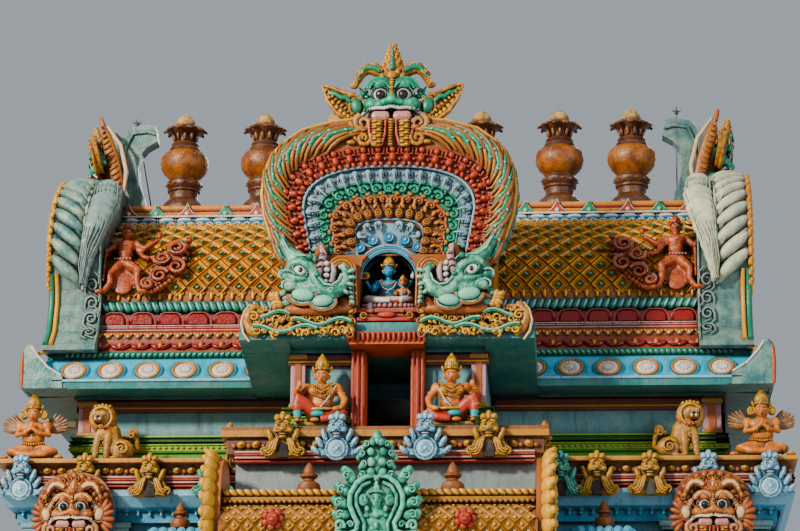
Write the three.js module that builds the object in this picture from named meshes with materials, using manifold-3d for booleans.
// A South Indian temple gateway tower: one gateway storey, and the barrel-roofed crown storey on it.
// Millimetres, +Z up, front facing -Y. The origin is at the middle of the footprint, on the ground.
import * as THREE from "three";
import { mergeVertices } from "three/addons/utils/BufferGeometryUtils.js";
import Module from "manifold-3d";

const wasm = await Module();
wasm.setup();

// Driving dimensions. The plans are half-widths of the main block and of the bay in its middle.
const LOWER = { halfX: 6150, halfY: 2650, bayX: 2250, bayY: 4600, wall: 450 };
const CROWN = { halfX: 5400, halfY: 2100, bayX: 1570, bayY: 4200, wall: 350 };
const PORCH_Y = 5900;
// Levels of the gateway storey, above the ground. The ledge is the crown storey's own zero.
const LEDGE = 5400;
const GROUND = { threshold: 150, plinthTop: 750, porchTop: 3250, wallTop: LEDGE - 1020 };
// Levels of the crown storey, above the ledge.
const LEVEL = {
  bayLedge: 120,
  plinthTop: 560,
  beam: 1190,
  fascia: 1220,
  bayBeam: 1470,
  bayFascia: 1570,
  archFoot: 1870,
  spring: 2890,
  ridge: 5130,
};
const GATE = { half: 850, frame: 260, top: 2950 };
const DOOR = { half: 365, frame: 235, top: 1500 };
const CLEAR = 0.3;
const FAR = 8000;

// Colours of the painted stucco, as sRGB.
const PAINT = {
  lowerWall: 0x3f8fae,
  lowerPlinth: 0x8a8f8c,
  gateFrame: 0xa8501a,
  ochre: 0xb9781d,
  green: 0x4c9a2d,
  crownWall: 0x4f7175,
  doorFrame: 0xc2551f,
  eave: 0x5db4cf,
  fascia: 0x3f7f7d,
  vault: 0xd99a1f,
  gable: 0x5f8380,
  arch: 0xb23a26,
  mask: 0x1fa37e,
  terracotta: 0x9a5a1a,
  skin: 0xe0791c,
  deity: 0x2f93b5,
  lion: 0xc08a2a,
  iron: 0x3a3634,
};

// Turns a three.js geometry into a manifold solid, with its shared vertices merged.
function solid(geometry) {
  const bare = geometry.clone();
  bare.deleteAttribute("normal");
  bare.deleteAttribute("uv");
  const merged = mergeVertices(bare, 1e-3);
  return new wasm.Manifold(
    new wasm.Mesh({
      numProp: 3,
      vertProperties: new Float32Array(merged.attributes.position.array),
      triVerts: new Uint32Array(merged.index.array),
    }),
  );
}

// Turns a manifold solid back into a three.js geometry.
function geometryOf(body) {
  const mesh = body.getMesh();
  const geometry = new THREE.BufferGeometry();
  geometry.setAttribute("position", new THREE.BufferAttribute(mesh.vertProperties, 3));
  geometry.setIndex(new THREE.BufferAttribute(mesh.triVerts, 1));
  geometry.computeVertexNormals();
  return geometry;
}

const join = (bodies) => wasm.Manifold.union(bodies);

// A box between two corners.
function block(x0, x1, y0, y1, z0, z1) {
  const box = new THREE.BoxGeometry(x1 - x0, y1 - y0, z1 - z0);
  box.translate((x0 + x1) / 2, (y0 + y1) / 2, (z0 + z1) / 2);
  return solid(box);
}

// A closed outline of [across, z] points, pushed along Y from y0 to y1.
function pushY(points, y0, y1) {
  const shape = new THREE.Shape(points.map(([x, z]) => new THREE.Vector2(x, z)));
  const geometry = new THREE.ExtrudeGeometry(shape, { depth: y1 - y0, bevelEnabled: false });
  geometry.rotateX(Math.PI / 2);
  geometry.translate(0, y1, 0);
  return solid(geometry);
}

// The same outline of [y, z] points, pushed along X from x0 to x1.
function pushX(points, x0, x1) {
  return pushY(points, x0, x1).rotate([0, 0, -90]).mirror([0, 1, 0]);
}

// An outline that is the same on both sides of its middle, from the points of its right half.
function mirrored(rightHalf) {
  const left = [...rightHalf].reverse().map(([across, z]) => [-across, z]);
  return [...rightHalf, ...left];
}

// A moulded mass on a rectangular plan: the profile lists [how far it stands out, z] from the bottom.
function moulding(x0, x1, y0, y1, profile) {
  const section = (low, high) => [
    ...profile.map(([out, z]) => [low - out, z]),
    ...[...profile].reverse().map(([out, z]) => [high + out, z]),
  ];
  const alongY = pushY(section(x0, x1), -FAR, FAR);
  const alongX = pushX(section(y0, y1), -FAR, FAR);
  return alongY.intersect(alongX);
}

// A body turned round a vertical axis, from [radius, z] points that start and end on the axis.
function turned(points, sides) {
  const profile = points.map(([r, z]) => new THREE.Vector2(r, z));
  const geometry = new THREE.LatheGeometry(profile, sides);
  geometry.rotateX(Math.PI / 2);
  return solid(geometry);
}

// A stretched ball, the lump of stucco that a figure is built up from.
function lump(x, y, z, rx, ry, rz) {
  const ball = new THREE.SphereGeometry(1, 8, 5);
  ball.rotateX(Math.PI / 2);
  ball.scale(rx, ry, rz);
  return solid(ball).translate([x, y, z]);
}

// A tapered limb of stucco from one point to another.
function limb(from, to, r0, r1) {
  const a = new THREE.Vector3(...from);
  const b = new THREE.Vector3(...to);
  const cone = new THREE.CylinderGeometry(r1, r0, a.distanceTo(b), 6);
  const along = b.clone().sub(a).normalize();
  const turn = new THREE.Quaternion().setFromUnitVectors(new THREE.Vector3(0, 1, 0), along);
  cone.applyQuaternion(turn);
  cone.translate((a.x + b.x) / 2, (a.y + b.y) / 2, (a.z + b.z) / 2);
  return solid(cone);
}

const tower = new THREE.Group();
const gatewayStorey = new THREE.Group();
const crownStorey = new THREE.Group();
crownStorey.position.z = LEDGE;
tower.add(gatewayStorey, crownStorey);

// Adds one named mesh of painted stucco, or of another finish, to a storey.
function add(storey, name, body, color, roughness = 0.75, metalness = 0) {
  const finish = new THREE.MeshStandardMaterial({ color, roughness, metalness });
  const mesh = new THREE.Mesh(geometryOf(body), finish);
  mesh.name = name;
  storey.add(mesh);
}

const SIDES = [
  ["left", -1],
  ["right", 1],
];
const FACES = [
  ["front", 0],
  ["back", 180],
];
// The four quarters of the plan: each piece is made at front right and mirrored to its place.
const QUARTERS = [
  ["front_left", -1, 1],
  ["front_right", 1, 1],
  ["back_left", -1, -1],
  ["back_right", 1, -1],
];

function toQuarter(body, sx, sy) {
  const across = sx < 0 ? body.mirror([1, 0, 0]) : body;
  return sy < 0 ? across.mirror([0, 1, 0]) : across;
}

const inAllQuarters = (body) => QUARTERS.map(([, sx, sy]) => toQuarter(body, sx, sy));
const faceAbout = (body) => body.rotate([0, 0, 180]);
const halfSpace = (sx) => block(Math.min(0, sx * FAR), Math.max(0, sx * FAR), -FAR, FAR, -FAR, FAR);

// Shrine bays: solid masonry masses on the front and back walls, each under a small domed roof.
const SHRINE = { x0: 2700, x1: 4200, y: 4000, wallTop: 3400, roofTop: 4060 };
const potProfile = [
  [0, 0],
  [130, 0],
  [70, 70],
  [150, 190],
  [60, 300],
  [110, 360],
  [0, 520],
];
const pot = turned(potProfile, 8);
const shrineProfile = [
  [0, GROUND.plinthTop],
  [0, SHRINE.wallTop - 120],
  [170, SHRINE.wallTop - 40],
  [180, SHRINE.wallTop + 60],
  [-60, SHRINE.wallTop + 150],
  [-60, SHRINE.wallTop + 230],
  [20, SHRINE.wallTop + 300],
  [-120, SHRINE.wallTop + 500],
  [-420, SHRINE.roofTop],
];
const shrineMiddle = [(SHRINE.x0 + SHRINE.x1) / 2, -3320, SHRINE.roofTop - 5];
const shrine = join([
  moulding(SHRINE.x0, SHRINE.x1, -SHRINE.y, -LOWER.halfY, shrineProfile),
  pot.scale(0.8).translate(shrineMiddle),
]).subtract(block(-FAR, FAR, -LOWER.halfY, FAR, -FAR, FAR));
for (const [quarter, sx, sy] of QUARTERS) {
  add(gatewayStorey, `shrine_bay_${quarter}`, toQuarter(shrine, sx, sy), PAINT.lowerWall);
}

// Base: a moulded stone plinth on each side of the passage, with a threshold slab between them.
const basePlinthProfile = [
  [250, 0],
  [250, 180],
  [190, 230],
  [190, 330],
  [90, 380],
  [90, 520],
  [180, 570],
  [180, 660],
  [60, GROUND.plinthTop],
];
const shrineFoot = moulding(SHRINE.x0, SHRINE.x1, -SHRINE.y, -LOWER.halfY, basePlinthProfile);
const plinthMass = join([
  moulding(-LOWER.halfX, LOWER.halfX, -LOWER.halfY, LOWER.halfY, basePlinthProfile),
  moulding(-LOWER.bayX, LOWER.bayX, -PORCH_Y, PORCH_Y, basePlinthProfile),
  ...inAllQuarters(shrineFoot),
]).subtract(block(-GATE.half, GATE.half, -FAR, FAR, -FAR, FAR));
for (const [side, sx] of SIDES) {
  const half = plinthMass.intersect(halfSpace(sx));
  add(gatewayStorey, `base_plinth_${side}`, half, PAINT.lowerPlinth, 0.85);
}
const thresholdY = PORCH_Y + basePlinthProfile[0][0];
const threshold = block(-GATE.half, GATE.half, -thresholdY, thresholdY, 0, GROUND.threshold);
add(gatewayStorey, "gateway_floor", threshold, PAINT.lowerPlinth, 0.85);

// Flat pilasters that stand 70 mm out of a front wall: each is [middle x, wall's y, width].
function pilasters(places, z0, z1) {
  return places.map(([x, y, width]) => block(x - width / 2, x + width / 2, y - 70, y + 40, z0, z1));
}

// Lower walls: main wall, bay side, and the lower porch with the pier beside the gateway.
const gateEdge = GATE.half + GATE.frame;
const bayInner = LOWER.bayX - LOWER.wall;
const lowerQuarter = join([
  block(
    bayInner,
    LOWER.halfX,
    -LOWER.halfY,
    -LOWER.halfY + LOWER.wall,
    GROUND.plinthTop,
    GROUND.wallTop,
  ),
  block(
    bayInner,
    LOWER.bayX,
    -LOWER.bayY,
    -LOWER.halfY + LOWER.wall,
    GROUND.plinthTop,
    GROUND.wallTop,
  ),
  block(bayInner, LOWER.bayX, -PORCH_Y, -LOWER.bayY, GROUND.plinthTop, GROUND.porchTop),
  block(
    gateEdge,
    LOWER.bayX,
    -PORCH_Y,
    -PORCH_Y + LOWER.wall,
    GROUND.plinthTop,
    GROUND.porchTop,
  ),
  ...pilasters(
    [
      [LOWER.halfX - 180, -LOWER.halfY, 300],
      [4560, -LOWER.halfY, 260],
    ],
    GROUND.plinthTop,
    GROUND.wallTop,
  ),
  ...pilasters(
    [
      [LOWER.bayX - 150, -PORCH_Y, 260],
      [1320, -PORCH_Y, 220],
    ],
    GROUND.plinthTop,
    GROUND.porchTop,
  ),
]);

// Crown walls: the same quarter at a smaller size, with the bay carried higher than the main wall.
const doorEdge = DOOR.half + DOOR.frame;
const crownBayInner = CROWN.bayX - CROWN.wall;
const crownQuarter = join([
  block(
    crownBayInner,
    CROWN.halfX,
    -CROWN.halfY,
    -CROWN.halfY + CROWN.wall,
    LEVEL.plinthTop,
    LEVEL.beam,
  ),
  block(
    crownBayInner,
    CROWN.bayX,
    -CROWN.bayY,
    -CROWN.halfY + CROWN.wall,
    LEVEL.plinthTop,
    LEVEL.beam,
  ),
  block(crownBayInner, CROWN.bayX, -CROWN.bayY, -2950, LEVEL.beam, LEVEL.bayBeam),
  block(
    doorEdge,
    CROWN.bayX,
    -CROWN.bayY,
    -CROWN.bayY + CROWN.wall,
    LEVEL.plinthTop,
    LEVEL.bayBeam,
  ),
  ...pilasters([[CROWN.halfX - 145, -CROWN.halfY, 280]], LEVEL.plinthTop, LEVEL.beam),
  ...pilasters([[CROWN.bayX - 110, -CROWN.bayY, 220]], LEVEL.plinthTop, LEVEL.bayBeam),
]);
for (const [quarter, sx, sy] of QUARTERS) {
  const lower = toQuarter(lowerQuarter, sx, sy);
  const crown = toQuarter(crownQuarter, sx, sy);
  add(gatewayStorey, `lower_wall_${quarter}`, lower, PAINT.lowerWall);
  add(crownStorey, `crown_wall_${quarter}`, crown, PAINT.crownWall);
}

// End walls of both storeys, between the front and back walls, with their pilasters.
function endWall(plan, z0, z1, pilasterY) {
  const inner = plan.halfY - plan.wall;
  return join([
    block(plan.halfX - plan.wall, plan.halfX, -inner, inner, z0, z1),
    ...pilasterY.map((y) => block(plan.halfX - 40, plan.halfX + 70, y - 130, y + 130, z0, z1)),
  ]);
}
const lowerEnd = endWall(LOWER, GROUND.plinthTop, GROUND.wallTop, [-1700, -600, 600, 1700]);
const crownEnd = endWall(CROWN, LEVEL.plinthTop, LEVEL.beam, [-1500, 0, 1500]);
for (const [side, sx] of SIDES) {
  add(gatewayStorey, `lower_wall_${side}_end`, toQuarter(lowerEnd, sx, 1), PAINT.lowerWall);
  add(crownStorey, `crown_wall_${side}_end`, toQuarter(crownEnd, sx, 1), PAINT.crownWall);
}

// Gateway frames: posts and lintel at the mouth of each porch.
const gateY0 = -PORCH_Y - 60;
const gateY1 = -PORCH_Y + LOWER.wall;
const gateFrame = join([
  block(-gateEdge, -GATE.half, gateY0, gateY1, GROUND.plinthTop, GROUND.porchTop),
  block(GATE.half, gateEdge, gateY0, gateY1, GROUND.plinthTop, GROUND.porchTop),
  block(-gateEdge, gateEdge, gateY0, gateY1, GATE.top, GROUND.porchTop),
]);

// A horseshoe outline, used large on the roof ends and small on the cornice.
function horseshoe(halfWidth, foot, top, steps) {
  const mid = foot + (top - foot) * 0.42;
  const right = [[halfWidth * 0.8, foot]];
  for (let i = 0; i <= steps; i += 1) {
    const t = (i / steps) * (Math.PI / 2);
    right.push([halfWidth * Math.cos(t) ** 0.85, mid + (top - mid) * Math.sin(t) ** 0.85]);
  }
  return [...right, ...mirrored(right).slice(right.length + 1)];
}

// Porch roofs: a slab over the porch with a barrel roof on it, horseshoe ends, a tall middle gable
// and the wall that closes the bay above.
const porchSection = [
  [-LOWER.bayY, GROUND.porchTop],
  [-PORCH_Y - 80, GROUND.porchTop],
  [-6250, 3190],
  [-6270, 3300],
  [-6130, 3420],
  [-6060, 3450],
  [-6140, 3600],
  [-6160, 3780],
  [-6060, 3960],
  [-5900, 4060],
  [-5880, 4150],
  [-5560, 4180],
  [-5250, 4060],
  [-LOWER.bayY, 4000],
];
const porchReach = 2450;
const porchEnd = pushX(
  horseshoe(640, 3300, 4850, 6).map(([y, z]) => [y - 5500, z]),
  porchReach - 20,
  porchReach + 190,
);
const porchRoof = join([
  pushX(porchSection, -porchReach, porchReach),
  block(-bayInner, bayInner, -PORCH_Y, -4150, GROUND.porchTop, GROUND.porchTop + 150),
  block(-bayInner, bayInner, -LOWER.bayY, -4150, GROUND.porchTop, GROUND.wallTop),
  porchEnd,
  porchEnd.mirror([1, 0, 0]),
  pushY(horseshoe(660, 3430, LEDGE - 230, 8), -6450, -6040),
  pot.translate([1120, -5560, 4170]),
  pot.translate([-1120, -5560, 4170]),
]);
for (const [face, turn] of FACES) {
  const frame = gateFrame.rotate([0, 0, turn]);
  add(gatewayStorey, `gateway_frame_${face}`, frame, PAINT.gateFrame);
  add(gatewayStorey, `porch_roof_${face}`, porchRoof.rotate([0, 0, turn]), PAINT.vault);
}

// Lower cornice: frieze, roll and curved slope under the ledge, with the floor slab and corner gables.
const corniceFoot = GROUND.wallTop - LEDGE;
const ledgeProfile = [
  [110, corniceFoot],
  [110, -840],
  [230, -800],
  [400, -620],
  [330, -500],
  [280, -440],
  [370, -360],
  [280, -270],
  [300, -85],
  [450, -70],
  [450, 0],
];
const bayLedgeProfile = [
  [110, corniceFoot],
  [110, LEVEL.bayLedge - 510],
  [250, LEVEL.bayLedge - 420],
  [250, LEVEL.bayLedge - 180],
  [330, LEVEL.bayLedge - 160],
  [330, LEVEL.bayLedge],
];
const bayLedgeX = LOWER.bayX + 20;
const bayLedgeBack = 3070;
const bayCornice = moulding(
  -bayLedgeX,
  bayLedgeX,
  -LOWER.bayY,
  LOWER.bayY,
  bayLedgeProfile,
).subtract(block(-FAR, FAR, -bayLedgeBack, bayLedgeBack, 0, FAR));
const cornerGable = pushY(
  horseshoe(620, corniceFoot - 280, -280, 7),
  -3330,
  -LOWER.halfY - 71,
).translate([5200, 0, 0]);
const floorUnder = -400;
const gatewayRoomHead = join([
  block(
    -LOWER.halfX + LOWER.wall,
    LOWER.halfX - LOWER.wall,
    -LOWER.halfY + LOWER.wall,
    LOWER.halfY - LOWER.wall,
    -FAR,
    floorUnder,
  ),
  block(-bayInner, bayInner, -4150, 4150, -FAR, floorUnder),
]);
const cornice = join([
  moulding(-LOWER.halfX, LOWER.halfX, -LOWER.halfY, LOWER.halfY, ledgeProfile),
  bayCornice,
  ...inAllQuarters(cornerGable),
]).subtract(gatewayRoomHead);
add(crownStorey, "lower_cornice", cornice, PAINT.ochre);

// Crown plinth: green moulded courses that stop at the doorways.
const crownPlinthProfile = [
  [110, 0],
  [110, 110],
  [60, 150],
  [60, 250],
  [130, 300],
  [130, 400],
  [70, 440],
  [90, LEVEL.plinthTop],
];
const bayLedgeReach = bayLedgeX + 330 + CLEAR;
const crownPlinthMass = join([
  moulding(-CROWN.halfX, CROWN.halfX, -CROWN.halfY, CROWN.halfY, crownPlinthProfile),
  moulding(-CROWN.bayX, CROWN.bayX, -CROWN.bayY, CROWN.bayY, crownPlinthProfile),
]).subtract(
  join([
    block(
      -CROWN.halfX + CROWN.wall,
      CROWN.halfX - CROWN.wall,
      -CROWN.halfY + CROWN.wall,
      CROWN.halfY - CROWN.wall,
      -FAR,
      FAR,
    ),
    block(-crownBayInner, crownBayInner, -3850, 3850, -FAR, FAR),
    block(-doorEdge, doorEdge, -FAR, FAR, -FAR, FAR),
    block(-bayLedgeReach, bayLedgeReach, -FAR, -bayLedgeBack, -FAR, LEVEL.bayLedge),
    block(-bayLedgeReach, bayLedgeReach, bayLedgeBack, FAR, -FAR, LEVEL.bayLedge),
  ]),
);
for (const [side, sx] of SIDES) {
  const half = crownPlinthMass.intersect(halfSpace(sx));
  add(crownStorey, `crown_plinth_${side}`, half, PAINT.green);
}

// Crown doorway frames: posts and a deep lintel that carries the seat of the figure above.
const doorY0 = -CROWN.bayY - 100;
const doorY1 = -CROWN.bayY + CROWN.wall;
const lintelTop = DOOR.top + 200;
const doorFrame = join([
  block(-doorEdge, -DOOR.half, doorY0, doorY1, LEVEL.bayLedge, lintelTop),
  block(DOOR.half, doorEdge, doorY0, doorY1, LEVEL.bayLedge, lintelTop),
  block(-doorEdge, doorEdge, -4760, doorY1, DOOR.top, lintelTop),
]);

// Main eave: beam, soffit, fascia and the banded mouldings up to the springing of the barrel roof.
const eaveProfile = [
  [90, LEVEL.beam],
  [90, LEVEL.beam + 60],
  [830, LEVEL.fascia],
  [850, LEVEL.fascia + 120],
  [700, LEVEL.fascia + 250],
  [580, LEVEL.fascia + 390],
  [500, LEVEL.fascia + 560],
  [455, LEVEL.fascia + 600],
  [450, LEVEL.fascia + 700],
  [430, LEVEL.fascia + 750],
  [370, LEVEL.fascia + 890],
  [360, LEVEL.fascia + 1070],
  [330, LEVEL.fascia + 1100],
  [250, LEVEL.fascia + 1210],
  [270, LEVEL.fascia + 1400],
  [150, LEVEL.fascia + 1430],
  [150, LEVEL.spring],
];
const eaveBody = (grow) =>
  moulding(
    -CROWN.halfX,
    CROWN.halfX,
    -CROWN.halfY,
    CROWN.halfY,
    eaveProfile.map(([out, z]) => [out + grow, z + grow]),
  );
const bayReach = 2370;
const nasiHalf = 1700;
const ceiling = LEVEL.fascia + 300;
const bayGap = block(
  -bayReach - CLEAR,
  bayReach + CLEAR,
  -FAR,
  -CROWN.halfY,
  -FAR,
  LEVEL.archFoot,
);
const nasiGap = block(
  -nasiHalf - CLEAR,
  nasiHalf + CLEAR,
  -FAR,
  -1400,
  LEVEL.archFoot - 100,
  FAR,
);
// The eave's corners turn up in a curved tip.
const tipOutline = [
  [5480, LEVEL.fascia + 10],
  [5900, LEVEL.fascia + 60],
  [6220, LEVEL.fascia + 420],
  [6250, LEVEL.fascia + 620],
  [6130, LEVEL.fascia + 560],
  [5980, LEVEL.fascia + 420],
  [5700, LEVEL.fascia + 300],
];
const eaveTip = pushY(tipOutline, -2950, -2690);
const eave = join([eaveBody(0), ...inAllQuarters(eaveTip)]).subtract(
  join([
    block(
      -CROWN.halfX + CROWN.wall,
      CROWN.halfX - CROWN.wall,
      -CROWN.halfY + CROWN.wall,
      CROWN.halfY - CROWN.wall,
      -FAR,
      ceiling,
    ),
    block(-4800, 4800, -1500, 1500, ceiling + 200, FAR),
    bayGap,
    nasiGap,
    faceAbout(bayGap),
    faceAbout(nasiGap),
  ]),
);
add(crownStorey, "main_eave", eave, PAINT.eave);

// Bay eaves: a slab over each bay, whose side returns slope down to the main eave.
const eaveEdge = -4800;
const sideReturn = pushX(
  [
    [eaveEdge, LEVEL.bayFascia],
    [eaveEdge, LEVEL.bayFascia + 110],
    [-4500, LEVEL.archFoot],
    [-CROWN.halfY, LEVEL.archFoot - 320],
    [-CROWN.halfY, LEVEL.fascia],
    [-2950, LEVEL.fascia],
  ],
  CROWN.bayX,
  bayReach,
);
const frontPlate = pushX(
  [
    [eaveEdge, LEVEL.bayFascia],
    [eaveEdge, LEVEL.bayFascia + 110],
    [-4700, LEVEL.archFoot],
    [-CROWN.bayY, LEVEL.archFoot],
    [-CROWN.bayY, LEVEL.bayBeam],
    [-4290, LEVEL.bayBeam],
    [-4290, LEVEL.bayBeam + 60],
  ],
  doorEdge,
  bayReach,
);
const bayEave = join([
  sideReturn,
  sideReturn.mirror([1, 0, 0]),
  frontPlate,
  frontPlate.mirror([1, 0, 0]),
  block(
    -CROWN.bayX,
    CROWN.bayX,
    -CROWN.bayY,
    -CROWN.halfY,
    LEVEL.bayBeam,
    LEVEL.archFoot,
  ),
  block(-doorEdge, doorEdge, -4700, -CROWN.bayY, lintelTop, LEVEL.archFoot),
]).subtract(block(-doorEdge, doorEdge, -FAR, doorY1, -FAR, lintelTop));

// Arch fronts: a feathered rim round nested bands of relief, each a step deeper, and the niche.
const archFront = -4620;
const archBack = -4200;
const bandOuter = { half: 1760, top: 4830, mid: 3900, foot: 3020 };
const bands = [
  { half: bandOuter.half, top: bandOuter.top, depth: 60 },
  { half: 1400, top: 4530, depth: 110 },
  { half: 1170, top: 4280, depth: 150 },
  { half: 920, top: 4020, depth: 190 },
  { half: 500, top: 3620, depth: 230 },
];

// A band's outline: a flattened horseshoe that draws in towards its foot.
function bandOutline(half, top) {
  const steps = 8;
  const mid = bandOuter.mid - (bandOuter.top - top) * 0.4;
  const right = [[half * 0.9, bandOuter.foot]];
  for (let i = 0; i <= steps; i += 1) {
    const t = (i / steps) * (Math.PI / 2);
    right.push([half * Math.cos(t) ** 0.78, mid + (top - mid) * Math.sin(t) ** 0.78]);
  }
  return [...right, ...mirrored(right).slice(right.length + 1)];
}
const rimRight = [
  [1900, LEVEL.archFoot],
  [1850, 2160],
  [1700, 2400],
  [1660, 3000],
  [1890, 3330],
  [2030, 3690],
  [2090, 4080],
  [2040, 4450],
  [1900, 4760],
  [1740, 4950],
  [1450, 5160],
  [940, 5300],
  [450, 5330],
];
const recesses = bands.map(({ half, top, depth }) =>
  pushY(bandOutline(half, top), archFront - 10, archFront + depth),
);
const archPlate = pushY(mirrored(rimRight), archFront, archBack).subtract(join(recesses));

// The barrel roof behind the arch runs back into the main barrel roof, and is hollow. The niche's
// back wall is a box on the arch that reaches into it.
const nasiRight = [
  [nasiHalf, LEVEL.archFoot],
  [nasiHalf, 3800],
  [1560, 4300],
  [1180, 4680],
  [620, 4860],
];
const nasiBack = -450;
const nasiBody = (grow) =>
  pushY(
    mirrored(nasiRight.map(([x, z]) => [x + grow, z + grow])),
    archBack - 1,
    nasiBack + grow,
  );
const niche = { half: 450, floor: 2110, spring: 2750, back: -3900 };
const nicheRight = [
  [niche.half, niche.floor],
  [niche.half, niche.spring],
  [niche.half * 0.92, niche.spring + 180],
  [niche.half * 0.6, niche.spring + 320],
];
const nicheVoid = pushY(mirrored(nicheRight), archFront - 20, niche.back);

// A sea-monster head at each foot of the arch: skull, brow, jaw, and a trunk curled to the niche.
const makara = join([
  lump(1330, -4680, 2550, 380, 200, 330),
  lump(1480, -4700, 2850, 200, 160, 260),
  lump(1150, -4700, 2200, 420, 190, 210),
  limb([1100, -4720, 2350], [700, -4720, 2500], 170, 130),
  limb([700, -4720, 2480], [620, -4720, 2900], 130, 90),
  limb([1150, -4720, 2700], [1050, -4700, 3160], 150, 80),
]);
const nicheBox = (grow) =>
  block(-600 - grow, 600 + grow, archBack, niche.back + 100 + grow, 1960 - grow, 3300 + grow);
const arch = join([archPlate, nicheBox(0), makara, makara.mirror([1, 0, 0])]).subtract(nicheVoid);
const nasiHollow = block(-1350, 1350, -3500, 0, 2100, 4100);
const nasi = nasiBody(0)
  .subtract(block(-FAR, FAR, -FAR, archBack + CLEAR, -FAR, FAR))
  .subtract(nicheBox(CLEAR))
  .subtract(nasiHollow);

// Lion masks over the arches: skull, muzzle, wing-like ears, horns and a leaf crest.
const maskSide = [
  lump(190, -4390, 5850, 130, 110, 120),
  limb([320, -4180, 5650], [1190, -4150, 6060], 230, 25),
  limb([250, -4150, 5950], [430, -4150, 6380], 150, 110),
  limb([420, -4150, 6350], [580, -4150, 6080], 110, 40),
];
const mask = join([
  lump(0, -4150, 5760, 450, 300, 400),
  lump(0, -4330, 5560, 430, 220, 230),
  limb([0, -4330, 5560], [0, -4400, 5020], 330, 260),
  lump(0, -4150, 6240, 190, 170, 330),
  limb([0, -4150, 6350], [0, -4150, 6920], 165, 12),
  ...maskSide,
  ...maskSide.map((part) => part.mirror([1, 0, 0])),
]);
const archTop = rimRight[rimRight.length - 1][1];
const maskSeat = join([
  block(-FAR, FAR, archFront - CLEAR, archBack + CLEAR, -FAR, archTop + CLEAR),
  nasiBody(CLEAR),
]);

// The seated four-armed figure in each niche, on its seat.
const deitySide = [
  limb([140, -4310, 2620], [310, -4330, 2460], 55, 45),
  limb([300, -4330, 2460], [330, -4330, 2660], 50, 35),
];
const deity = join([
  block(-400, 400, -4560, -4000, niche.floor, niche.floor + 90),
  lump(0, -4350, 2300, 330, 170, 120),
  lump(0, -4300, 2540, 160, 110, 190),
  lump(0, -4310, 2770, 80, 80, 100),
  limb([0, -4300, 2820], [0, -4300, 3020], 85, 20),
  ...deitySide,
  ...deitySide.map((part) => part.mirror([1, 0, 0])),
]);
for (const [face, turn] of FACES) {
  const facing = (body) => body.rotate([0, 0, turn]);
  add(crownStorey, `crown_door_frame_${face}`, facing(doorFrame), PAINT.doorFrame);
  add(crownStorey, `bay_eave_${face}`, facing(bayEave), PAINT.fascia);
  add(crownStorey, `arch_${face}`, facing(arch), PAINT.arch);
  add(crownStorey, `arch_roof_${face}`, facing(nasi), PAINT.vault);
  add(crownStorey, `arch_mask_${face}`, facing(mask.subtract(maskSeat)), PAINT.mask);
  add(crownStorey, `deity_${face}`, facing(deity), PAINT.deity, 0.5);
}

// Main barrel roof: a hollow shell between the gables, with its ridge band on top.
const vaultRight = [
  [2240, LEVEL.spring],
  [2270, 3160],
  [2130, 3600],
  [1800, 4020],
  [1330, 4380],
  [870, 4560],
  [560, 4830],
  [470, 4880],
  [450, LEVEL.ridge - 50],
  [380, LEVEL.ridge],
];
const vaultInnerRight = [
  [1990, LEVEL.spring - 10],
  [2010, 3160],
  [1880, 3500],
  [1600, 3850],
  [1150, 4180],
  [700, 4400],
];
const gableX = 5050;
// The slopes are tiled in lozenges. Only the main ribs of that lattice stand here, crossed at 45 degrees.
const LATTICE = { rise: 54, width: 130, pitch: (2 * gableX) / 8, foot: 2980, top: 4560 };
const latticeRight = [
  [vaultRight[0][0], LATTICE.foot],
  ...vaultRight.slice(1, 6).map(([y, z]) => [y + LATTICE.rise, z + LATTICE.rise / 3]),
  [vaultRight[5][0] - LATTICE.rise, LATTICE.top],
];
const rib = block(-LATTICE.width / 2, LATTICE.width / 2, -FAR, FAR, -gableX, gableX);
const latticeRibs = [];
for (let x = -gableX - 2 * LATTICE.pitch; x <= gableX + 2 * LATTICE.pitch; x += LATTICE.pitch) {
  for (const lean of [45, -45]) {
    latticeRibs.push(rib.rotate([0, lean, 0]).translate([x, 0, (LATTICE.foot + LATTICE.top) / 2]));
  }
}
const vault = pushX(mirrored(vaultRight), -gableX, gableX)
  .add(pushX(mirrored(latticeRight), -gableX, gableX).intersect(join(latticeRibs)))
  .subtract(pushX(mirrored(vaultInnerRight), -FAR, FAR))
  .subtract(nasiBody(0.5))
  .subtract(faceAbout(nasiBody(0.5)));
add(crownStorey, "roof_vault", vault, PAINT.vault);

// Gables: a thick horseshoe shell at each roof end, a mask on top and a scrolled fin behind it.
const gableRight = [
  [2900, 1890],
  [2860, 2000],
  [2560, 2300],
  [2420, 2800],
  [2560, 3300],
  [2620, 3800],
  [2480, 4300],
  [2120, 4780],
  [1500, 5160],
  [700, 5380],
];
const gableOuter = 5960;
const gableShell = pushX(mirrored(gableRight), gableX, gableOuter)
  .subtract(pushX(horseshoe(1900, 3020, 4850, 8), gableOuter - 200, FAR))
  .subtract(eaveBody(CLEAR));
const finOutline = [
  [5300, 5360],
  [5250, 5900],
  [5100, 6400],
  [4850, 6720],
  [4600, 6760],
  [4480, 6600],
  [4600, 6330],
  [4850, 6100],
  [4950, 5800],
  [4850, 5500],
  [4900, 5135],
  [5300, 5135],
];
const gable = join([
  gableShell,
  pushY(finOutline, -170, 170),
  lump(5650, 0, 5680, 300, 430, 400),
  lump(5790, 0, 5450, 170, 380, 250),
  limb([5450, 0, 5800], [5560, 0, 6870], 230, 20),
  limb([5600, 260, 5800], [5560, 840, 6100], 190, 25),
  limb([5600, -260, 5800], [5560, -840, 6100], 190, 25),
]).subtract(block(0, gableX, -FAR, FAR, -FAR, LEVEL.ridge + CLEAR));
for (const [side, sx] of SIDES) {
  add(crownStorey, `gable_${side}`, toQuarter(gable, sx, 1), PAINT.gable);
}

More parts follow.
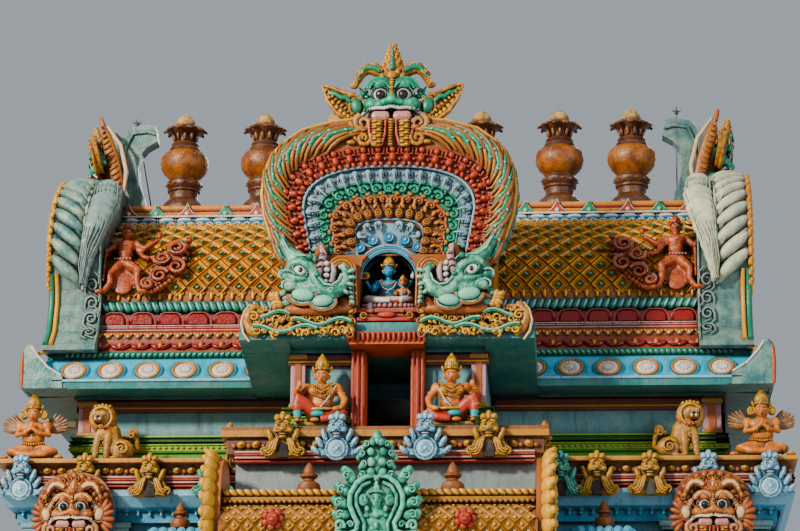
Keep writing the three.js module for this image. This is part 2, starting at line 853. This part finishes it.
// Kalasams: seven fired-clay finials along the ridge, set by hand and so not quite evenly.
const kalasamX = [-4050, -2600, -1330, 0, 1310, 2700, 3980];
const kalasamProfile = [
  [0, 0],
  [350, 0],
  [350, 140],
  [250, 230],
  [265, 360],
  [310, 460],
  [310, 560],
  [260, 620],
  [433, 880],
  [400, 1010],
  [254, 1155],
  [165, 1330],
  [335, 1470],
  [200, 1540],
  [175, 1660],
  [0, 1850],
];
const kalasam = turned(kalasamProfile, 12);
kalasamX.forEach((x, i) => {
  const placed = kalasam.translate([x, 0, LEVEL.ridge]);
  add(crownStorey, `kalasam_${i + 1}`, placed, PAINT.terracotta, 0.6);
});

// Guardians: seated figures beside each doorway, one knee raised, on a low seat.
const guardian = join([
  block(620, 1500, -4750, -4332, LEVEL.bayLedge, LEVEL.bayLedge + 110),
  lump(1060, -4540, 350, 330, 190, 170),
  lump(1060, -4500, 680, 230, 150, 290),
  lump(1060, -4510, 1060, 120, 120, 150),
  limb([1060, -4510, 1120], [1060, -4500, 1430], 130, 30),
  limb([1000, -4570, 330], [700, -4640, 360], 120, 90),
  limb([1120, -4590, 300], [1370, -4620, 620], 110, 95),
  limb([1370, -4620, 620], [1370, -4640, 240], 85, 70),
  limb([870, -4510, 820], [760, -4560, 500], 75, 60),
  limb([1250, -4510, 820], [1390, -4560, 580], 75, 60),
]).subtract(block(-FAR, FAR, -CROWN.bayY - 131, FAR, -FAR, FAR));
for (const [quarter, sx, sy] of QUARTERS) {
  add(crownStorey, `guardian_${quarter}`, toQuarter(guardian, sx, sy), PAINT.skin);
}

// Garudas: kneeling winged figures with joined hands, at the two front corners of the ledge.
const garudaSide = [
  limb([140, -2700, 520], [500, -2640, 640], 130, 60),
  limb([150, -2790, 580], [0, -2960, 520], 65, 55),
];
const aboveLedge = block(-FAR, FAR, -3100, FAR, 0, FAR);
const garuda = join([
  lump(0, -2820, 140, 330, 200, 150),
  lump(0, -2760, 470, 190, 140, 270),
  lump(0, -2780, 800, 115, 115, 145),
  limb([0, -2770, 860], [0, -2760, 1150], 115, 25),
  ...garudaSide,
  ...garudaSide.map((part) => part.mirror([1, 0, 0])),
])
  .translate([6060, 0, 0])
  .intersect(aboveLedge);

// Lions: seated beasts that look outwards, beside the garudas, with a tail curled up behind.
const lion = join([
  lump(4660, -2760, 210, 290, 190, 220),
  lump(4830, -2780, 500, 190, 160, 250),
  lump(4890, -2800, 790, 190, 170, 190),
  limb([4920, -2860, 480], [4960, -2900, 10], 85, 80),
  limb([4450, -2760, 200], [4240, -2760, 240], 80, 65),
  limb([4240, -2760, 220], [4170, -2760, 500], 60, 70),
]).intersect(aboveLedge);
for (const [side, sx] of SIDES) {
  add(crownStorey, `garuda_${side}`, toQuarter(garuda, sx, 1), PAINT.skin);
  add(crownStorey, `lion_${side}`, toQuarter(lion, sx, 1), PAINT.lion);
}

// Lightning rods: an iron rod at each end of the ridge. The left one leans.
const rods = [
  { side: "left", x: -4650, lean: -350, top: 7000 },
  { side: "right", x: 4780, lean: 20, top: 7100 },
];
const rodY = 280;
for (const { side, x, lean, top } of rods) {
  const rod = join([
    block(x - 50, x + 50, rodY - 50, rodY + 50, LEVEL.ridge, LEVEL.ridge + 60),
    limb([x, rodY, LEVEL.ridge + 20], [x + lean, rodY, top], 14, 8),
  ]);
  add(crownStorey, `lightning_rod_${side}`, rod, PAINT.iron, 0.5, 0.8);
}

export default tower;
